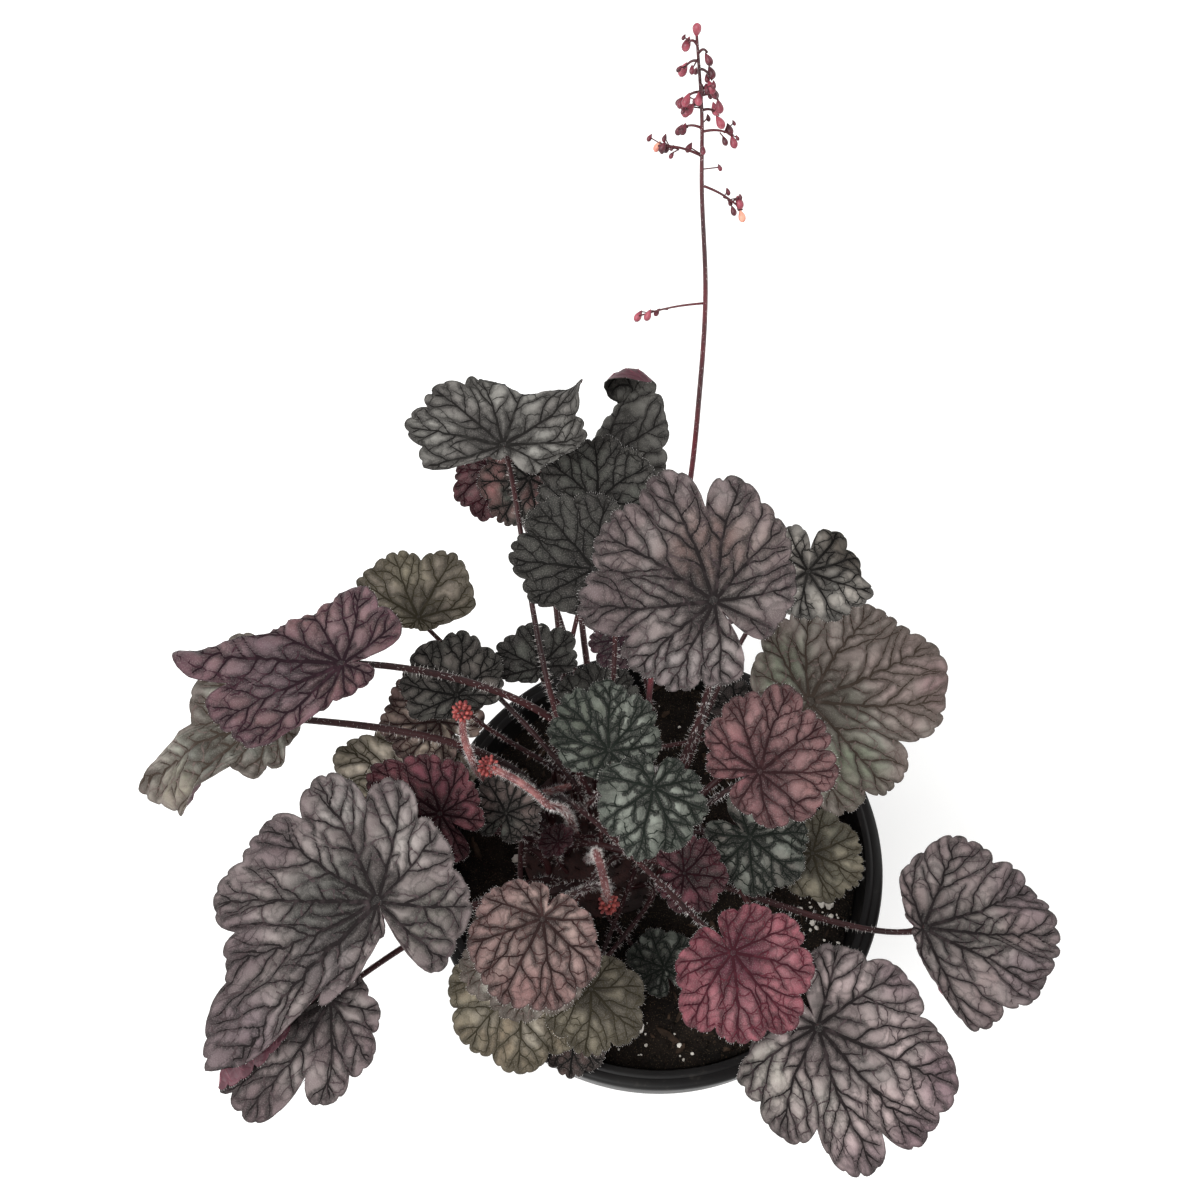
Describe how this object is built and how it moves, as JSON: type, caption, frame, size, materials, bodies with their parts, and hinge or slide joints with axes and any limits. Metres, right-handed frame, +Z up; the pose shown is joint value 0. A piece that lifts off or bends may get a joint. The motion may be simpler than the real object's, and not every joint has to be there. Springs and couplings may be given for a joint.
{
  "type": "potted heuchera plant",
  "caption": "Heuchera in a round nursery pot: a mound of lobed, veined leaves on slender stalks, with one tall flower stem in bud.",
  "frame": {"origin": "centre of the pot's flat base", "axes": "+Z up along the pot's axis and the tall flower stem, -Z out of the base; -Y towards the front of the plant"},
  "size_m": [0.3248, 0.2732, 0.4332],
  "materials": {
    "pot": "moulded black nursery plastic, faintly glossy",
    "soil": "dark peat and bark compost with white perlite",
    "crown": "brown woody crown with old leaf bases",
    "leaf_mauve": "silver-mauve blade with dark purple veins",
    "leaf_charcoal": "charcoal-green blade with a dark centre",
    "leaf_silver": "silver-green blade with dark veins",
    "leaf_wine": "wine-red blade with a dark centre",
    "leaf_green": "pale grey-green blade with olive-purple veins",
    "leaf_salmon": "salmon-pink blade, dark red at the centre",
    "leaf_veined": "dark green blade with silver patches",
    "leaf_olive": "dull olive-brown old blade",
    "leaf_pink": "raspberry pink, quilted blade",
    "leaf_brown": "pinkish-brown blade with dark purple-brown veins",
    "leaf_purple": "purple blade with lilac ridges",
    "scape": "maroon hairy stem with pink-red buds",
    "young_scape": "pink hairy stem with a coral-red head of buds"
  },
  "bodies": {
    "root": {"pot": "pot", "soil": "soil", "crown": "crown", "leaf_centre_broad": "leaf_mauve", "leaf_centre_charcoal": "leaf_charcoal", "leaf_back_dark": "leaf_charcoal", "leaf_back_saddle": "leaf_silver", "leaf_back_upright": "leaf_silver", "leaf_back_under": "leaf_charcoal", "leaf_back_turned": "leaf_wine", "leaf_right_folded": "leaf_silver", "leaf_right_broad": "leaf_green", "leaf_centre_salmon": "leaf_salmon", "leaf_centre_green": "leaf_veined", "leaf_centre_silver": "leaf_veined", "leaf_low_wine": "leaf_wine", "leaf_low_veined": "leaf_veined", "leaf_low_green": "leaf_olive", "leaf_far_right": "leaf_mauve", "leaf_front_right": "leaf_mauve", "leaf_front_pink": "leaf_pink", "leaf_front_brown": "leaf_brown", "leaf_front_silver": "leaf_green", "leaf_front_olive": "leaf_olive", "leaf_front_grey": "leaf_olive", "leaf_front_purple": "leaf_charcoal", "leaf_soil_young": "leaf_veined", "leaf_left_broad": "leaf_mauve", "leaf_left_lobed": "leaf_mauve", "leaf_far_left": "leaf_green", "leaf_left_curled": "leaf_purple", "leaf_left_upright": "leaf_olive", "leaf_left_dark": "leaf_charcoal", "leaf_left_brown": "leaf_brown", "leaf_left_olive": "leaf_olive", "leaf_left_wine": "leaf_wine", "leaf_left_charcoal": "leaf_charcoal", "leaf_back_small": "leaf_charcoal", "leaf_back_low": "leaf_charcoal", "leaf_inner_purple": "leaf_purple", "leaf_back_right": "leaf_charcoal", "leaf_new_red": "leaf_wine", "scape": "scape", "young_scape_front": "young_scape", "young_scape_left": "young_scape", "young_scape_back": "young_scape"}
  },
  "joints": []
}
